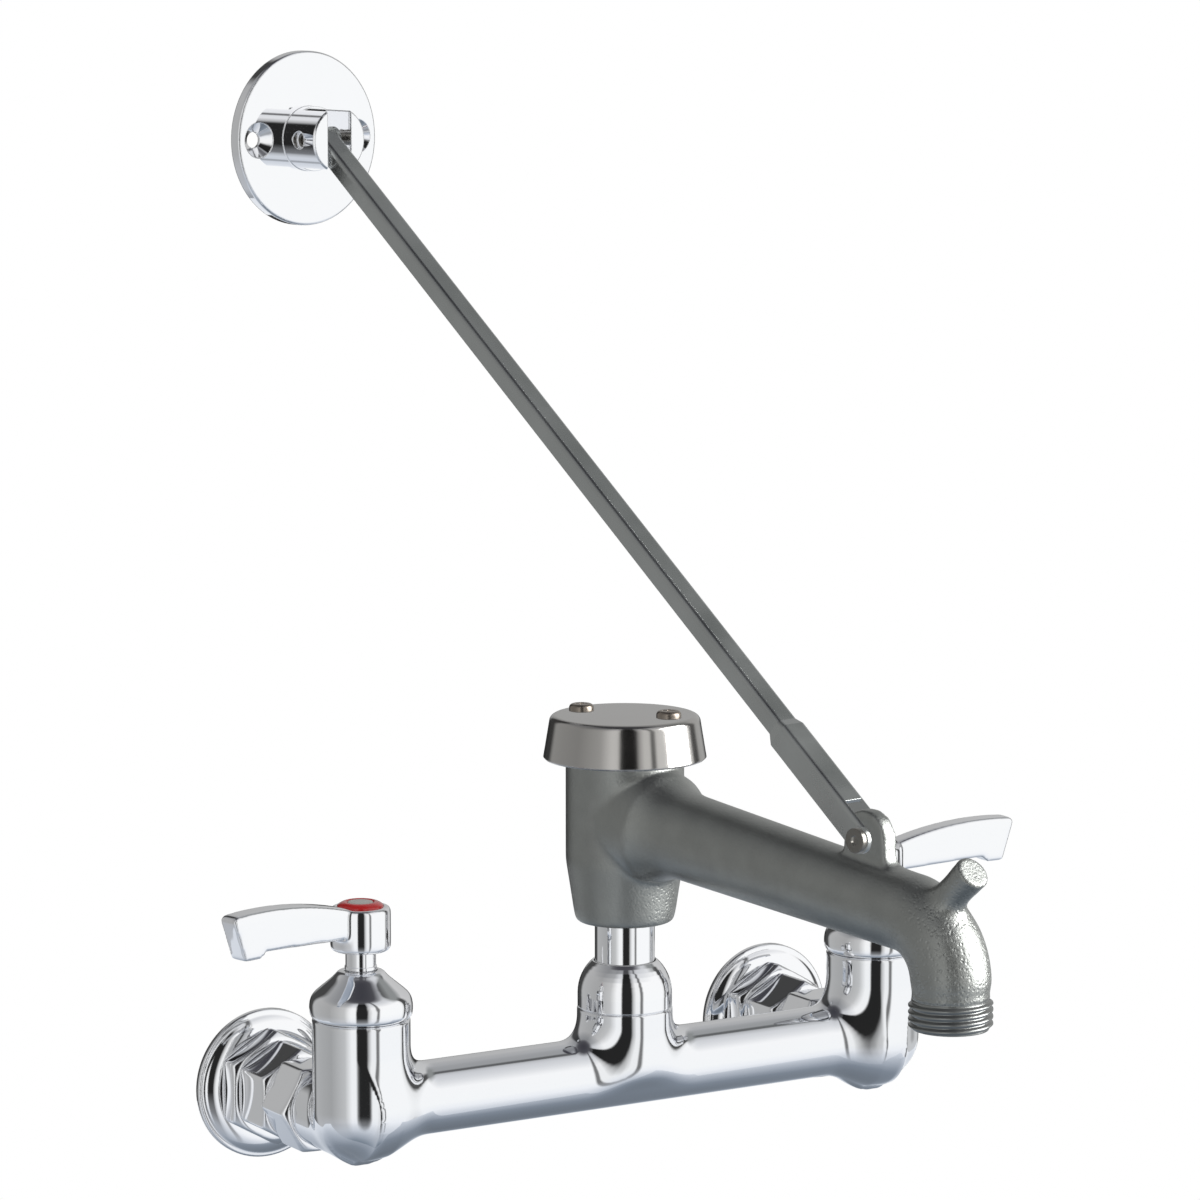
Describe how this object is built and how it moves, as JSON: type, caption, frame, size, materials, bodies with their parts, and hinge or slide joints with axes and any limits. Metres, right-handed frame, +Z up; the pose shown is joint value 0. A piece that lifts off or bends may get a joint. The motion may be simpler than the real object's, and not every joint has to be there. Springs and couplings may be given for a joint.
{
  "type": "commercial wall faucet",
  "caption": "Wall-mounted service sink faucet with two lever valves, a swinging spout with vacuum breaker and bucket hook, and a brace up to a round wall bracket.",
  "frame": {"origin": "midway between the two inlet axes, in the plane of the wall flanges' backs", "axes": "+X to the user's right along the cross tube, +Y into the wall, +Z up; the faucet stands out along -Y"},
  "size_m": [0.3178, 0.3436, 0.3716],
  "materials": {
    "chrome_body": "polished",
    "chrome_parts": "polished",
    "cast_chrome": "satin, sand-cast skin under the plating",
    "nickel_cap": "polished, slightly warm",
    "cap_screw_steel": "dull",
    "zinc_steel": "satin",
    "pin_steel": "bright",
    "brass": "machined",
    "black_rubber": "matt",
    "white_ceramic": "polished",
    "white_nylon": "matt",
    "float_plastic": "matt",
    "red_button": "gloss",
    "blue_button": "gloss"
  },
  "bodies": {
    "faucet_body": {"valve_body": "chrome_body", "swivel_nut": "chrome_parts", "thrust_washer": "white_nylon", "wall_flange_left": "chrome_parts", "wall_flange_right": "chrome_parts", "flange_nut_left": "chrome_parts", "flange_nut_right": "chrome_parts", "inlet_union_left": "chrome_parts", "inlet_union_right": "chrome_parts", "union_washer_left": "black_rubber", "union_washer_right": "black_rubber", "tailpiece_left": "brass", "tailpiece_right": "brass", "coupling_nut_left": "chrome_parts", "coupling_nut_right": "chrome_parts", "bonnet_left": "chrome_parts", "bonnet_right": "chrome_parts", "cartridge_left": "brass", "cartridge_right": "brass", "seat_seal_left": "black_rubber", "seat_seal_right": "black_rubber", "fixed_disc_left": "white_ceramic", "fixed_disc_right": "white_ceramic"},
    "left_handle": {"handle_left": "chrome_parts", "stem_left": "chrome_parts", "turning_disc_left": "white_ceramic", "stem_ring_left": "black_rubber", "handle_screw_left": "pin_steel", "index_button_left": "red_button"},
    "right_handle": {"handle_right": "chrome_parts", "stem_right": "chrome_parts", "turning_disc_right": "white_ceramic", "stem_ring_right": "black_rubber", "handle_screw_right": "pin_steel", "index_button_right": "blue_button"},
    "spout": {"spout_neck": "chrome_parts", "neck_rings": "black_rubber", "spout_casting": "cast_chrome", "breaker_seat": "brass", "breaker_gasket": "black_rubber", "breaker_bonnet": "brass", "vent_cap": "nickel_cap", "cap_screws": "cap_screw_steel"},
    "float": {"breaker_float": "float_plastic"},
    "brace_arm": {"brace": "zinc_steel", "brace_pin": "pin_steel"},
    "bracket": {"wall_bracket": "chrome_parts", "bracket_pin": "pin_steel"}
  },
  "joints": [
    {"name": "handle_left", "type": "hinge", "parent": "faucet_body", "child": "left_handle", "pos_m": [-0.1016, -0.07, 0.06], "axis": [0, 0, 1], "range_deg": [0, 90]},
    {"name": "handle_right", "type": "hinge", "parent": "faucet_body", "child": "right_handle", "pos_m": [0.1016, -0.07, 0.06], "axis": [0, 0, 1], "range_deg": [-90, 0]},
    {"name": "spout_swivel", "type": "hinge", "parent": "faucet_body", "child": "spout", "pos_m": [0, -0.07, 0.03], "axis": [0, 0, 1], "range_deg": [-56, 36]},
    {"name": "float_slide", "type": "slide", "parent": "spout", "child": "float", "axis": [0, 0, 1], "range_m": [0, 0.003]},
    {"name": "brace_pivot", "type": "hinge", "parent": "spout", "child": "brace_arm", "pos_m": [0.02049, -0.18621, 0.10297], "axis": [0.9848, 0.1736, 0], "range_deg": [-15, 75]},
    {"name": "bracket_pivot", "type": "hinge", "parent": "brace_arm", "child": "bracket", "pos_m": [-0.028, 0.08881, 0.31494], "axis": [0.9848, 0.1736, 0], "range_deg": [-40, 40]}
  ]
}
